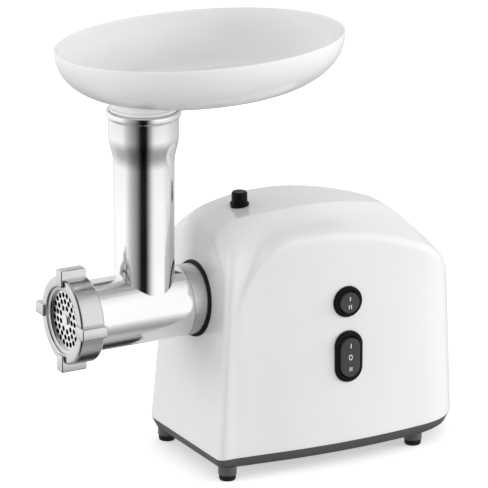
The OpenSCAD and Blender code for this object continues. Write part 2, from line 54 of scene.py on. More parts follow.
# Sizes below are in mm. Their x = 0 is midway between the feet, SHIFT behind the frame's origin.
SHIFT = 33.0
SEAM_Z = 21.0            # where the white housing meets the grey base
SPINE_Z = 140            # rays fan out upwards from this height to shape the housing
TOP_Z = 227
FRONT_X = -105
REAR_X = 145
PANEL_HALF = 74.6        # half width of the side panels at the seam
CORE_HALF = 66           # half width of the upright core between them
FRONT_DRAFT = 4.5        # how far the front face leans back, in degrees
ARCH_X = -9              # crest of the panels' arched top edge
ARCH_Z = 208
BARREL_R = 30.6
BORE_R = 24.6
CHUTE_X = -142
CHUTE_BORE_R = 23.4
TRAY_FLOOR = 334.0
TRAY_WALL = 2.4


def centre(node):
    low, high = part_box(node)
    return (Vector(low) + Vector(high)) / 2


def size(node):
    low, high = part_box(node)
    return Vector(high) - Vector(low)


# ---- camera, light and floor ------------------------------------------------------

VIEW_AZIMUTH = math.radians(-28.4)
VIEW_ELEVATION = math.radians(18.2)
LENS = 369.0
SENSOR = 36
FAR_CLIP = 50
DISTANCE = 4.348
AIM = Vector((0.0064, 0.035, 0.1759))


def view_axes():
    sa, ca = math.sin(VIEW_AZIMUTH), math.cos(VIEW_AZIMUTH)
    se, ce = math.sin(VIEW_ELEVATION), math.cos(VIEW_ELEVATION)
    back = Vector((sa * ce, -ca * ce, se))
    right = Vector((ca, sa, 0))
    return right, back.cross(right), back


def add_camera():
    right, up, back = view_axes()
    data = bpy.data.cameras.new("camera")
    data.lens = LENS
    data.sensor_width = SENSOR
    data.clip_end = FAR_CLIP
    cam = bpy.data.objects.new("camera", data)
    cam.matrix_world = Matrix((
        (right.x, up.x, back.x, 0), (right.y, up.y, back.y, 0), (right.z, up.z, back.z, 0), (0, 0, 0, 1)))
    cam.location = AIM + back * DISTANCE
    bpy.context.scene.collection.objects.link(cam)
    bpy.context.scene.camera = cam


BOX_DISTANCE = 2.2
BOX_WIDTH = 1.1


def area_light(name, azimuth, elevation, power):
    """A soft box on a circle round the object. Metal reflects the studio pattern instead of it."""
    data = bpy.data.lights.new(name, "AREA")
    data.shape = "RECTANGLE"
    data.size = BOX_WIDTH
    data.size_y = BOX_WIDTH
    data.energy = power
    lamp = bpy.data.objects.new(name, data)
    a, e = math.radians(azimuth), math.radians(elevation)
    away = Vector((math.cos(a) * math.cos(e), math.sin(a) * math.cos(e), math.sin(e)))
    lamp.location = AIM + away * BOX_DISTANCE
    lamp.rotation_euler = away.to_track_quat("Z", "Y").to_euler()
    lamp.visible_glossy = False
    bpy.context.scene.collection.objects.link(lamp)


def ramp_of(nodes, links, source, stops):
    """A grey for each place along the source, from (place, grey) stops."""
    node = nodes.new("ShaderNodeValToRGB")
    ramp = node.color_ramp
    while len(ramp.elements) > 1:
        ramp.elements.remove(ramp.elements[0])
    ramp.elements[0].position = stops[0][0]
    ramp.elements[0].color = (stops[0][1],) * 3 + (1,)
    for place, grey in stops[1:]:
        ramp.elements.new(place).color = (grey, grey, grey, 1)
    links.new(source, node.inputs["Fac"])
    return node.outputs["Color"]


def times(nodes, links, first, second):
    node = nodes.new("ShaderNodeMath")
    node.operation = "MULTIPLY"
    links.new(first, node.inputs[0])
    links.new(second, node.inputs[1])
    return node.outputs[0]


def card(nodes, links, ray, direction, inner, outer, grey):
    """A round dark card seen in one direction; inner and outer are the degrees over which it fades."""
    dot = nodes.new("ShaderNodeVectorMath")
    dot.operation = "DOT_PRODUCT"
    links.new(ray, dot.inputs[0])
    dot.inputs[1].default_value = Vector(direction).normalized()
    return spread(nodes, links, dot.outputs["Value"], 1.0, grey,
                  math.cos(math.radians(outer)), math.cos(math.radians(inner)))


# what metal and gloss reflect, by the share of a full turn from -X by -Y; the dark part is a black flag
ROUND = (
    (0.0, 0.85), (0.04, 0.55), (0.1, 0.28), (0.135, 0.07), (0.15, 0.01), (0.2, 0.01), (0.235, 0.45),
    (0.265, 0.95), (0.3, 1.1), (0.38, 1.1), (0.46, 0.85), (0.6, 0.6), (0.68, 0.75), (0.8, 1.1), (0.97, 1.1),
    (1.0, 0.85))
# what they reflect from straight down (0) to straight up (1)
UPWARD = (
    (0.0, 0.35), (0.065, 0.5), (0.14, 0.3), (0.215, 0.45), (0.3, 0.75), (0.36, 1.0), (0.8, 1.0),
    (0.9, 0.85), (0.94, 0.5), (1.0, 0.45))
# the light that falls on matt surfaces, from straight down to straight up
DOME = ((0.0, 0.4), (0.42, 0.5), (0.58, 0.74), (1.0, 0.74))


def mixed(nodes, links, choice, other, chosen):
    node = nodes.new("ShaderNodeMixShader")
    links.new(choice, node.inputs["Fac"])
    links.new(other, node.inputs[1])
    links.new(chosen, node.inputs[2])
    return node.outputs[0]


def backdrop(nodes, links, colour=None):
    """A background shader, white unless a colour is linked to it."""
    node = nodes.new("ShaderNodeBackground")
    node.inputs["Color"].default_value = (1, 1, 1, 1)
    if colour:
        links.new(colour, node.inputs["Color"])
    return node.outputs[0]


def studio():
    """White to the camera, a soft dome on matt surfaces; the flag and cards show only in reflections."""
    world = bpy.data.worlds.new("studio")
    bpy.context.scene.world = world
    world.use_nodes = True
    nodes = world.node_tree.nodes
    links = world.node_tree.links
    nodes.clear()
    ray = nodes.new("ShaderNodeTexCoord").outputs["Generated"]
    split = nodes.new("ShaderNodeSeparateXYZ")
    links.new(ray, split.inputs[0])
    turn = nodes.new("ShaderNodeMath")
    turn.operation = "ARCTAN2"
    links.new(split.outputs["Y"], turn.inputs[0])
    links.new(split.outputs["X"], turn.inputs[1])
    share = spread(nodes, links, turn.outputs[0], 0, 1, -math.pi, math.pi)
    height = spread(nodes, links, split.outputs["Z"], 0, 1, -1, 1)
    shade = times(nodes, links, ramp_of(nodes, links, share, ROUND), ramp_of(nodes, links, height, UPWARD))
    shade = times(nodes, links, shade, card(nodes, links, ray, (0.45, 0.53, 0.71), 6, 12, 0.04))
    shade = times(nodes, links, shade, card(nodes, links, ray, (0.45, 0.27, -0.85), 8, 20, 0.12))
    reflected = backdrop(nodes, links, shade)
    soft = backdrop(nodes, links, ramp_of(nodes, links, height, DOME))
    path = nodes.new("ShaderNodeLightPath")
    lit = mixed(nodes, links, path.outputs["Is Glossy Ray"], soft, reflected)
    seen = mixed(nodes, links, path.outputs["Is Camera Ray"], lit, backdrop(nodes, links))
    out = nodes.new("ShaderNodeOutputWorld")
    links.new(seen, out.inputs["Surface"])
    bpy.context.scene.view_settings.view_transform = "Standard"
    area_light("left_box", 172, 8, 15)
    area_light("right_box", -22, 8, 26)
    area_light("front_box", -88, 6, 9)


def floor():
    """White paper that takes the shadow; it glows a little, so that it stays white."""
    bm = bmesh.new()
    bmesh.ops.create_grid(bm, x_segments=2, y_segments=2, size=6)
    piece = new_object("studio_floor", bm)
    mat, shader, nodes, links = blank_material("floor_paper", (0.9, 0.9, 0.9), 0.9)
    grain = noise(nodes, links, 60, 2)
    bump(nodes, links, shader, grain, 0.02, 0.0005)
    shader.inputs["Emission Color"].default_value = (1, 1, 1, 1)
    shader.inputs["Emission Strength"].default_value = 0.45
    piece.data.materials.append(mat)
    piece.visible_glossy = False
    piece.visible_diffuse = False


# ---- mesh helpers -----------------------------------------------------------------

def new_object(name, bm):
    mesh = bpy.data.meshes.new(name)
    bmesh.ops.recalc_face_normals(bm, faces=bm.faces)
    bm.to_mesh(mesh)
    bm.free()
    piece = bpy.data.objects.new(name, mesh)
    bpy.context.scene.collection.objects.link(piece)
    return piece


def smooth(piece, angle):
    """Smooth shading, with edges sharper than the angle kept crisp."""
    mesh = piece.data
    mesh.polygons.foreach_set("use_smooth", [True] * len(mesh.polygons))
    mesh.set_sharp_from_angle(angle=math.radians(angle))
    mesh.update()


def apply_modifiers(piece):
    bpy.context.view_layer.update()
    graph = bpy.context.evaluated_depsgraph_get()
    baked = bpy.data.meshes.new_from_object(piece.evaluated_get(graph))
    old = piece.data
    piece.modifiers.clear()
    piece.data = baked
    bpy.data.meshes.remove(old)


def bevel(piece, width, segments, angle):
    mod = piece.modifiers.new("bevel", "BEVEL")
    mod.width = width
    mod.segments = segments
    mod.limit_method = "ANGLE"
    mod.angle_limit = math.radians(angle)
    mod.use_clamp_overlap = True
    apply_modifiers(piece)


def boolean(piece, tool, kind):
    """Joins the tool to the piece or cuts it out, then removes the tool."""
    mod = piece.modifiers.new("bool", "BOOLEAN")
    mod.operation = kind
    mod.solver = "EXACT"
    mod.object = tool
    apply_modifiers(piece)
    bpy.data.objects.remove(tool, do_unlink=True)


def axes_along(axis):
    """An axis and the two directions across it, so that a profile turns round it."""
    if axis == "X":
        return Vector((1, 0, 0)), Vector((0, 1, 0)), Vector((0, 0, 1))
    if axis == "Y":
        return Vector((0, 1, 0)), Vector((0, 0, 1)), Vector((1, 0, 0))
    return Vector((0, 0, 1)), Vector((1, 0, 0)), Vector((0, 1, 0))


def lathe(name, axis, origin, profile, steps=128):
    """Turns a closed profile of (distance along the axis, radius) points, in mm, round the axis."""
    along, u, v = axes_along(axis)
    origin = Vector(origin)
    n = len(profile)
    bm = bmesh.new()
    made = []
    for k in range(steps):
        a = 2 * math.pi * k / steps
        out = u * math.cos(a) + v * math.sin(a)
        made += [bm.verts.new(origin + (along * t + out * r) * MM) for t, r in profile]
    for k in range(steps):
        near, far = k * n, (k + 1) % steps * n
        for i in range(n):
            j = (i + 1) % n
            bm.faces.new([made[spot] for spot in (near + i, far + i, far + j, near + j)])
    bmesh.ops.remove_doubles(bm, verts=bm.verts, dist=1e-6)
    bmesh.ops.dissolve_degenerate(bm, edges=bm.edges, dist=1e-7)
    return new_object(name, bm)


def rounded(points, radius, steps=4):
    """Curves the corners of a closed profile; a third number in a point is that corner's own radius."""
    out = []
    n = len(points)
    for i in range(n):
        here = Vector(points[i][:2])
        r = points[i][2] if len(points[i]) > 2 else radius
        before = Vector(points[i - 1][:2])
        after = Vector(points[(i + 1) % n][:2])
        a, b = before - here, after - here
        cut = min(r, a.length * 0.45, b.length * 0.45)
        if cut < 0.01 or here.y < 1e-6:
            out.append(tuple(here))
            continue
        start, end = here + a.normalized() * cut, here + b.normalized() * cut
        for k in range(steps + 1):
            t = k / steps
            p = start * (1 - t) ** 2 + here * 2 * t * (1 - t) + end * t * t
            out.append(tuple(p))
    return out


def block(name, low, high, width=0.0008, segments=3):
    """A box with rounded edges."""
    low, high = Vector(low), Vector(high)
    bm = bmesh.new()
    bmesh.ops.create_cube(bm, size=1)
    for v in bm.verts:
        v.co = Vector([low[i] + (high[i] - low[i]) * (v.co[i] + 0.5) for i in range(3)])
    if width:
        bmesh.ops.bevel(bm, geom=bm.edges[:], offset=width, segments=segments, profile=0.5, affect="EDGES")
    return new_object(name, bm)


def band(bm, low, high, flip=False):
    """Closed band of quads between two rings of points."""
    n = len(low)
    for i in range(n):
        j = (i + 1) % n
        quad = (low[i], low[j], high[j], high[i])
        bm.faces.new(quad[::-1] if flip else quad)


def pill(name, middle, half_w, half_h, y_low, y_high, steps=24):
    """A stadium standing in the XZ plane, extruded along Y. All in metres."""
    bm = bmesh.new()
    ring = []
    straight = half_h - half_w
    for k in range(2 * steps + 2):
        top = k <= steps
        a = math.pi * (k if top else k - 1) / steps
        lift = straight if top else -straight
        ring.append((middle[0] + half_w * math.cos(a), middle[1] + half_w * math.sin(a) + lift))
    low = [bm.verts.new((x, y_low, z)) for x, z in ring]
    high = [bm.verts.new((x, y_high, z)) for x, z in ring]
    bm.faces.new(low)
    bm.faces.new(high[::-1])
    band(bm, low, high)
    bmesh.ops.remove_doubles(bm, verts=bm.verts, dist=1e-6)
    return new_object(name, bm)


# ---- materials --------------------------------------------------------------------

def blank_material(name, colour, roughness, metallic=0.0):
    mat = bpy.data.materials.new(name)
    mat.use_nodes = True
    nodes, links = mat.node_tree.nodes, mat.node_tree.links
    shader = nodes["Principled BSDF"]
    shader.inputs["Base Color"].default_value = (*colour, 1)
    shader.inputs["Roughness"].default_value = roughness
    shader.inputs["Metallic"].default_value = metallic
    return mat, shader, nodes, links


def coordinates(nodes, links, scale=(1, 1, 1)):
    coord = nodes.new("ShaderNodeTexCoord")
    place = nodes.new("ShaderNodeMapping")
    place.inputs["Scale"].default_value = scale
    links.new(coord.outputs["Object"], place.inputs["Vector"])
    return place.outputs[0]


def noise(nodes, links, scale, detail=3, stretch=(1, 1, 1)):
    tex = nodes.new("ShaderNodeTexNoise")
    tex.inputs["Scale"].default_value = scale
    tex.inputs["Detail"].default_value = detail
    links.new(coordinates(nodes, links, stretch), tex.inputs["Vector"])
    return tex.outputs["Fac"]


def spread(nodes, links, source, low, high, start=0.3, end=0.7):
    remap = nodes.new("ShaderNodeMapRange")
    remap.inputs["From Min"].default_value = start
    remap.inputs["From Max"].default_value = end
    remap.inputs["To Min"].default_value = low
    remap.inputs["To Max"].default_value = high
    links.new(source, remap.inputs["Value"])
    return remap.outputs[0]


def tint(nodes, links, shader, source, dark, light):
    ramp = nodes.new("ShaderNodeValToRGB")
    ramp.color_ramp.elements[0].position = 0.3
    ramp.color_ramp.elements[0].color = (*dark, 1)
    ramp.color_ramp.elements[1].position = 0.7
    ramp.color_ramp.elements[1].color = (*light, 1)
    links.new(source, ramp.inputs["Fac"])
    links.new(ramp.outputs["Color"], shader.inputs["Base Color"])


def bump(nodes, links, shader, source, strength, distance):
    node = nodes.new("ShaderNodeBump")
    node.inputs["Strength"].default_value = strength
    node.inputs["Distance"].default_value = distance
    links.new(source, node.inputs["Height"])
    links.new(node.outputs["Normal"], shader.inputs["Normal"])


def moulded_plastic(name, colour, roughness, texture, depth, coat=0.0, specular=0.5):
    """Plastic with faint clouding, uneven gloss and a fine mould texture of the given scale and depth."""
    mat, shader, nodes, links = blank_material(name, colour, roughness)
    shader.inputs["Specular IOR Level"].default_value = specular
    shader.inputs["Coat Weight"].default_value = coat
    shader.inputs["Coat Roughness"].default_value = 0.06
    tint(nodes, links, shader, noise(nodes, links, 14, 4), [c * 0.965 for c in colour], colour)
    links.new(spread(nodes, links, noise(nodes, links, 90, 4), roughness * 0.8, roughness * 1.25),
              shader.inputs["Roughness"])
    bump(nodes, links, shader, noise(nodes, links, texture, 2), depth, 0.0004)
    return mat


def turned_metal(name, colour, low, high, axis, marks=1400, depth=0.02):
    """Metal with fine turning marks that run round the X or Z axis; its roughness goes from low to high."""
    mat, shader, nodes, links = blank_material(name, colour, (low + high) / 2, 1.0)
    along = {"X": (1, 0.02, 0.02), "Z": (0.02, 0.02, 1)}[axis]
    lines = noise(nodes, links, marks, 4, along)
    patches = noise(nodes, links, 26, 5)
    tint(nodes, links, shader, patches, [c * 0.93 for c in colour], colour)
    mix = times(nodes, links, lines, spread(nodes, links, patches, 0.75, 1.25))
    links.new(spread(nodes, links, mix, low, high), shader.inputs["Roughness"])
    bump(nodes, links, shader, lines, depth, 0.0002)
    return mat


def cast_metal(name, colour, roughness):
    mat, shader, nodes, links = blank_material(name, colour, roughness, 1.0)
    grain = noise(nodes, links, 700, 5)
    tint(nodes, links, shader, noise(nodes, links, 40, 4), [c * 0.8 for c in colour], colour)
    links.new(spread(nodes, links, grain, roughness * 0.7, roughness * 1.3), shader.inputs["Roughness"])
    bump(nodes, links, shader, grain, 0.25, 0.0003)
    return mat


def wave(nodes, links, scale, distortion=0.0):
    """Bands across X."""
    tex = nodes.new("ShaderNodeTexWave")
    tex.inputs["Scale"].default_value = scale
    tex.inputs["Distortion"].default_value = distortion
    links.new(coordinates(nodes, links), tex.inputs["Vector"])
    return tex.outputs["Fac"]


def wound_wire(name, colour):
    """Enamelled wire: close round strands."""
    mat, shader, nodes, links = blank_material(name, colour, 0.3, 0.85)
    strands = wave(nodes, links, 420, 1.2)
    tint(nodes, links, shader, strands, [c * 0.4 for c in colour], colour)
    bump(nodes, links, shader, strands, 0.6, 0.0004)
    return mat


def stacked_sheets(name, colour):
    """Varnished laminations stacked along X."""
    mat, shader, nodes, links = blank_material(name, colour, 0.4, 0.9)
    sheets = wave(nodes, links, 320)
    tint(nodes, links, shader, sheets, [c * 0.45 for c in colour], colour)
    bump(nodes, links, shader, sheets, 0.4, 0.0003)
    return mat


def rubber(name, colour):
    mat, shader, nodes, links = blank_material(name, colour, 0.75)
    cloud = noise(nodes, links, 120, 5)
    tint(nodes, links, shader, cloud, [c * 0.7 for c in colour], [c * 1.5 for c in colour])
    bump(nodes, links, shader, noise(nodes, links, 1500, 3), 0.25, 0.0003)
    return mat


def make_materials():
    white = (0.86, 0.86, 0.86)
    black = (0.005, 0.005, 0.0055)
    return {
        "white_plastic": moulded_plastic("white_plastic", white, 0.2, 700, 0.015, 0.5),
        "tray_plastic": moulded_plastic("tray_plastic", (0.93, 0.93, 0.93), 0.2, 700, 0.015, 0.5),
        "grey_plastic": moulded_plastic("grey_plastic", (0.095, 0.097, 0.1), 0.5, 2200, 0.2, 0.0, 0.35),
        "black_plastic": moulded_plastic("black_plastic", black, 0.3, 1800, 0.05, 0.0, 0.12),
        "rocker_plastic": moulded_plastic("rocker_plastic", (0.055, 0.055, 0.057), 0.4, 2000, 0.1, 0.0, 0.3),
        "white_paint": moulded_plastic("white_paint", (0.8, 0.8, 0.8), 0.5, 2500, 0.1),
        "black_rubber": rubber("black_rubber", (0.006, 0.006, 0.006)),
        "polished_aluminium": turned_metal("polished_aluminium", (0.93, 0.935, 0.94), 0.07, 0.15, "Z"),
        "turned_aluminium": turned_metal("turned_aluminium", (0.68, 0.685, 0.69), 0.17, 0.22, "X", 700, 0.003),
        "plate_steel": turned_metal("plate_steel", (0.9, 0.9, 0.9), 0.2, 0.26, "X", 500, 0.002),
        # painted shade: near-black steel for the walls of the plate's holes, standing in for the shadow inside
        # them
        "hole_shade_steel": cast_metal("hole_shade_steel", (0.05, 0.05, 0.05), 0.6),
        "collar_metal": cast_metal("collar_metal", (0.72, 0.72, 0.725), 0.34),
        "steel": turned_metal("steel", (0.72, 0.72, 0.73), 0.18, 0.32, "X"),
        # dark steel, worn by the knife as painted shade: it sits in shadow behind the plate
        "dark_steel": turned_metal("dark_steel", (0.2, 0.2, 0.21), 0.25, 0.4, "X"),
        "cast_case": cast_metal("cast_case", (0.6, 0.6, 0.61), 0.42),
        "laminations": stacked_sheets("laminations", (0.42, 0.43, 0.45)),
        "copper": wound_wire("copper", (0.7, 0.33, 0.14)),
        "bronze": cast_metal("bronze", (0.55, 0.38, 0.2), 0.35),
        "nylon_gear": moulded_plastic("nylon_gear", (0.72, 0.68, 0.55), 0.45, 1200, 0.1),
        "ivory_plastic": moulded_plastic("ivory_plastic", (0.8, 0.76, 0.66), 0.4, 1500, 0.08),
        "carbon": moulded_plastic("carbon", (0.03, 0.03, 0.032), 0.6, 2500, 0.3),
        "film_box": moulded_plastic("film_box", (0.6, 0.42, 0.08), 0.3, 1200, 0.05),
    }


def wear(piece, material):
    piece.data.materials.clear()
    piece.data.materials.append(material)


def stand_for(piece, body, material, *nodes):
    """Puts the piece on a body in place of CAD nodes."""
    wear(piece, material)
    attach(piece, body)
    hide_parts(*nodes)


# ---- housing ----------------------------------------------------------------------

def smax(a, b, k):
    """The greater of two, with the crease between them rounded over the width k."""
    h = np.maximum(k - np.abs(a - b), 0) / k
    return np.maximum(a, b) + h * h * k / 4


def smin(a, b, k):
    return -smax(-a, -b, k)


def lean(degrees):
    return math.tan(math.radians(degrees))


def panel_arch(x):
    """Height of the side panels' arched top edge."""
    ahead = np.maximum(ARCH_X - x, 0)
    return np.where(x < ARCH_X, ARCH_Z - 36 * (ahead / 66) ** 3.6, ARCH_Z - 0.0024 * (x - ARCH_X) ** 2)


def belt(x, y, z):
    """The side panels and the bulged back; below zero inside."""
    side = np.abs(y) - PANEL_HALF + (x - 20) ** 2 / 1110 + (z - SEAM_Z) * lean(2)
    back = x - REAR_X + y * y / 520 + (z - SEAM_Z) * 0.03
    crown = 16 * (y / 68) ** 2
    lid = z - panel_arch(x) - 16 + crown
    slope = 0.84 * (x - 117) + 0.54 * (z - 187 + crown)
    return smax(smax(smax(side, back, 40), -(x + 88), 10), smax(lid, slope, 12), 5)


def core(x, y, z):
    """The narrower core with the flat top band and the front face; below zero inside."""
    band_half = 30 - 0.0017 * (x + 20) ** 2
    fall = np.maximum(0, np.abs(y) - band_half) / (60 - band_half)
    side = np.abs(y) - CORE_HALF + (z - SEAM_Z) * lean(2.5)
    front = FRONT_X - x + (z - SEAM_Z) * lean(FRONT_DRAFT)
    lid = z - TOP_Z + 0.0017 * (x + 15) ** 2 + 24 * fall ** 1.08
    step = 0.7 * (x - 88 + z - 209)
    return smax(smax(smax(side, front, 7), x - 112, 30), smax(lid, step, 2), 16)


def shell_field(x, y, z):
    return smin(belt(x, y, z), core(x, y, z), 5)


REACH = 160.0            # longer than any ray inside the housing
HALVINGS = 26


def shoot(origin, direction, inset):
    """Where rays from inside reach the surface, or the surface moved inwards by the inset."""
    near = np.zeros(len(origin))
    far = np.full(len(origin), REACH)
    for _ in range(HALVINGS):
        mid = (near + far) / 2
        p = origin + direction * mid[:, None]
        inside = shell_field(p[:, 0], p[:, 1], p[:, 2]) + inset < 0
        near = np.where(inside, mid, near)
        far = np.where(inside, far, mid)
    return origin + direction * near[:, None]


def ray_ring(z, tilt, inset, cols):
    """A ring of surface points on rays that leave a flat loop at height z, tilted up."""
    a = 2 * np.pi * (np.arange(cols) + 0.5) / cols
    c, s = np.cos(a) * math.cos(tilt), np.sin(a) * math.cos(tilt)
    origin = np.stack([20 + 72 * c, 16 * s, np.full(cols, float(z))], 1)
    direction = np.stack([c, s, np.full(cols, math.sin(tilt))], 1)
    return shoot(origin, direction, inset)


def level(ring, z):
    flat = ring.copy()
    flat[:, 2] = z
    return flat


def points_of(bm, ring):
    """The ring's points in the frame's own place and unit."""
    return [bm.verts.new(((p[0] + SHIFT) * MM, p[1] * MM, p[2] * MM)) for p in ring]


def skin_mesh(name, outer, inner):
    """A shell, open at the bottom: outer and inner rings joined along the rim, each closed by a peak."""
    cols = len(outer[0])
    bm = bmesh.new()

    def grid(rings, flip):
        rows = [points_of(bm, ring) for ring in rings]
        for low, high in zip(rows, rows[1:]):
            band(bm, low, high, flip)
        top = sum((v.co for v in rows[-1]), Vector()) / cols
        peak = bm.verts.new(top)
        for i in range(cols):
            tri = (rows[-1][i], rows[-1][(i + 1) % cols], peak)
            bm.faces.new(tri[::-1] if flip else tri)
        return rows[0]

    rim_out = grid(outer, False)
    rim_in = grid(inner, True)
    band(bm, rim_in, rim_out)
    return new_object(name, bm)


def cutter(axis, origin, radius, low, high, steps=96):
    """A rod for cutting holes, from low to high along the axis."""
    return lathe("cutter", axis, origin, [(low, 0), (low, radius), (high, radius), (high, 0)], steps)


def build_housing():
    cols = 300
    wall = 2.8
    skin = 0.12          # keeps the visible surface just inside the CAD's
    # the bottom edge rolls in slightly where it meets the base
    outer = [ray_ring(SEAM_Z, 0, 0.9, cols), ray_ring(SEAM_Z + 0.35, 0, 0.35, cols)]
    outer += [ray_ring(z, 0, skin, cols) for z in np.linspace(SEAM_Z, SPINE_Z, 40)[1:]]
    outer += [ray_ring(SPINE_Z, t, skin, cols) for t in np.linspace(0, math.pi / 2, 110)[1:-1]]
    inner = [ray_ring(z, 0, wall, cols) for z in (SEAM_Z, 60, 100)]
    inner += [ray_ring(SPINE_Z, t, wall, cols) for t in np.linspace(0, math.pi / 2, 24)[:-1]]
    piece = skin_mesh("white_housing", outer, inner)
    seal_r = size("collar_seal").y / MM / 2
    button_r = size("button_collar").x / MM / 2
    speed_r = size("speed_bezel").x / MM / 2
    boolean(piece, cutter("X", centre("collar_seal"), seal_r + 0.1, -30, 30), "DIFFERENCE")
    boolean(piece, cutter("Z", centre("release_button"), button_r - 0.4, -12, 40), "DIFFERENCE")
    boolean(piece, cutter("Y", centre("speed_bezel"), speed_r + 0.15, -18, 10), "DIFFERENCE")
    main, wide = centre("main_bezel"), size("main_bezel") / 2
    gap = 0.15 * MM
    hole = pill("cutter", (main.x, main.z), wide.x + gap, wide.z + gap, main.y - 0.02, main.y + 0.01)
    boolean(piece, hole, "DIFFERENCE")
    boolean(piece, cutter("X", centre("cord_gland"), 7.1, -20, 15), "DIFFERENCE")
    smooth(piece, 38)
    stand_for(piece, "base", mats["white_plastic"], "upper_housing")


def build_base():
    """The grey tray under the housing: tapered rim, floor, four posts and the air slots."""
    # height and inset of each ring: up the outside, over the rim and down into the tray
    stack = [(11.0, 6.9), (11.12, 6.3), (11.5, 5.7), (13.0, 3.9), (20.2, 0.75), (20.8, 0.75), (20.95, 1.0),
             (20.95, 4.2), (14.0, 4.2)]
    bm = bmesh.new()
    rows = [points_of(bm, level(ray_ring(SEAM_Z, 0, inset, 240), z)) for z, inset in stack]
    for low, high in zip(rows, rows[1:]):
        band(bm, low, high)
    bm.faces.new(rows[0][::-1])
    bm.faces.new(rows[-1])
    piece = new_object("grey_base", bm)
    for x, y in foot_places():
        post = lathe("post", "Z", (x, y, 0), rounded([(5, 0), (5, 8), (13, 8, 0), (13, 0)], 0.5), 64)
        boolean(piece, post, "UNION")
    slots_under_motor = [((9 * k - 2, side * 41 - 9), (4, 18)) for k in range(7) for side in (-1, 1)]
    slots_behind = [((108, y - 2), (16, 4)) for y in range(-50, 51, 9)]
    for (x, y), (long, wide) in slots_under_motor + slots_behind:
        low = Vector((SHIFT + x, y, 9))
        high = low + Vector((long, wide, 8))
        boolean(piece, block("slot", low * MM, high * MM, 0.0012, 3), "DIFFERENCE")
    for x, y in screw_places():
        boolean(piece, cutter("Z", (x, y, 0), 3.6, 8, 20, 48), "DIFFERENCE")
    smooth(piece, 35)
    stand_for(piece, "base", mats["grey_plastic"], "base_plate")


def foot_places():
    low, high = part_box("rubber_feet")
    r = 7.4 * MM
    return [(x, y) for x in (low[0] + r, high[0] - r) for y in (low[1] + r, high[1] - r)]


def screw_places():
    return [((x + SHIFT) * MM, s * y * MM) for x, y in ((-72, 50), (92, 52)) for s in (-1, 1)]


def build_feet():
    profile = rounded([(0, 0), (0, 6.7, 0.8), (1.2, 7.3), (4.4, 7.35), (5, 7.0), (5, 0)], 0.5)
    parts = [lathe("foot", "Z", (x, y, 0), profile, 64) for x, y in foot_places()]
    join(parts, "rubber_tips")
    smooth(parts[0], 40)
    stand_for(parts[0], "base", mats["black_rubber"], "rubber_feet")


def join(parts, name):
    bm = bmesh.new()
    for part in parts:
        bm.from_mesh(part.data)
    bm.to_mesh(parts[0].data)
    bm.free()
    parts[0].name = name
    for part in parts[1:]:
        bpy.data.objects.remove(part, do_unlink=True)
    return parts[0]


# ---- food tray --------------------------------------------------------------------

def build_tray():
    low, high = (Vector(v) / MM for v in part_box("food_tray"))
    middle_x = (low.x + high.x) / 2
    half_a, half_b = (high.x - low.x) / 2, (high.y - low.y) / 2
    rim = high.z
    depth = rim - TRAY_FLOOR
    lip = TRAY_WALL / 2
    cols, rows, lip_rows = 192, 36, 8

    def width(t):
        """The bowl's share of its full width at a share t of its height."""
        return 0.6 + 0.4 * (1 - (1 - t) ** 2.3) ** 0.6

    def ring(grow, z, w):
        return [((middle_x + (half_a * w + grow) * math.cos(2 * math.pi * i / cols)) * MM,
                 (half_b * w + grow) * math.sin(2 * math.pi * i / cols) * MM, z * MM) for i in range(cols)]

    ts = [1 - math.cos(math.pi / 2 * k / rows) for k in range(1, rows)]
    rings = [ring(-4.0, TRAY_FLOOR, 0.6)]
    rings += [ring(0, TRAY_FLOOR + depth * t, width(t)) for t in ts]
    # rolled lip
    for k in range(lip_rows + 1):
        a = math.pi * k / lip_rows
        rings.append(ring(-lip + lip * math.cos(a), rim - lip + lip * math.sin(a), 1))
    inside = TRAY_FLOOR + TRAY_WALL
    rings += [ring(-TRAY_WALL, inside + (depth - TRAY_WALL) * t, width(t)) for t in ts[::-1]]
    rings.append(ring(-TRAY_WALL - 4, inside, 0.6))
    bm = bmesh.new()
    grid = [[bm.verts.new(p) for p in r] for r in rings]
    for low_ring, high_ring in zip(grid, grid[1:]):
        band(bm, low_ring, high_ring)
    bm.faces.new(grid[0][::-1])
    bm.faces.new(grid[-1])
    piece = new_object("white_tray", bm)
    spot = (chute_axis_x(), 0, 0)
    spigot = rounded([
        (300.5, 20), (300.5, 27.4), (324.3, 27.4, 0), (324.6, 29.5), (327, 29.5), (327.5, 27.6, 2),
        (TRAY_FLOOR + 1.2, 28.6, 0), (TRAY_FLOOR + 1.2, 20)], 0.5)
    boolean(piece, lathe("spigot", "Z", spot, spigot), "UNION")
    # the hole's upper edge flares into the floor
    hole = [
        (288, 0), (288, 24), (TRAY_FLOOR + 1.4, 24), (TRAY_FLOOR + 2.2, 24.4), (TRAY_FLOOR + 2.6, 25.4),
        (TRAY_FLOOR + 4, 26), (TRAY_FLOOR + 4, 0)]
    boolean(piece, lathe("hole", "Z", spot, hole), "DIFFERENCE")
    smooth(piece, 32)
    stand_for(piece, "tray", mats["tray_plastic"], "food_tray")


def chute_axis_x():
    return (SHIFT + CHUTE_X) * MM


def feed_axis():
    return centre("collar_seal").z


# ---- grinding head ----------------------------------------------------------------

